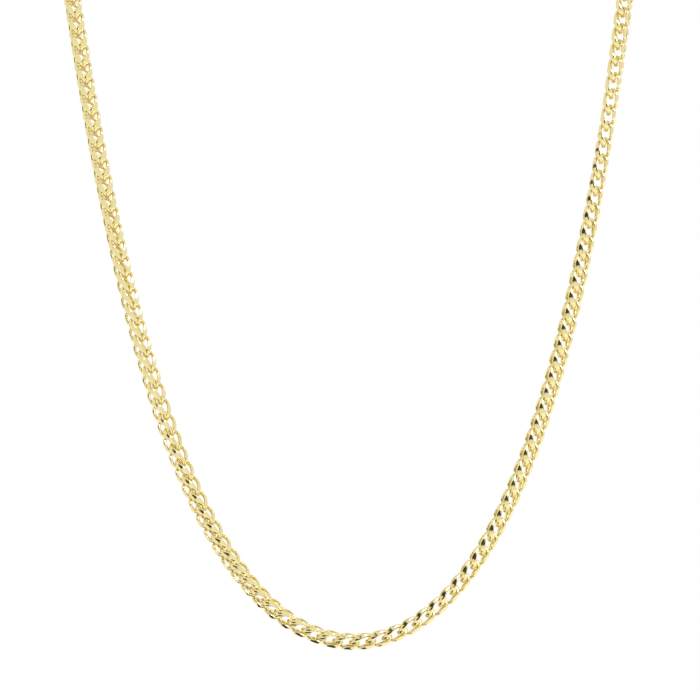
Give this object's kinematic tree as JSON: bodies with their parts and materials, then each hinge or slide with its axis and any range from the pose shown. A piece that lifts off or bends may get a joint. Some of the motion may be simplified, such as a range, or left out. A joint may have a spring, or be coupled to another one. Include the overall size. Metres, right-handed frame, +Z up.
{
  "type": "franco chain necklace",
  "caption": "Franco chain necklace in polished yellow gold: mirrored double-lobe links threaded one through the next, diamond cut, held as worn with a plain barrel clasp at the nape",
  "frame": {"origin": "on the nape, where the clasp rests against the back of the neck", "axes": "+Z up, the front of the necklace hangs at minus Y, +X is the right side in the picture"},
  "size_m": [0.1165, 0.05, 0.1614],
  "materials": {
    "gold": "polished yellow gold"
  },
  "bodies": {
    "root": {"chain_left": "gold", "chain_right": "gold", "clasp": "gold"}
  },
  "joints": []
}
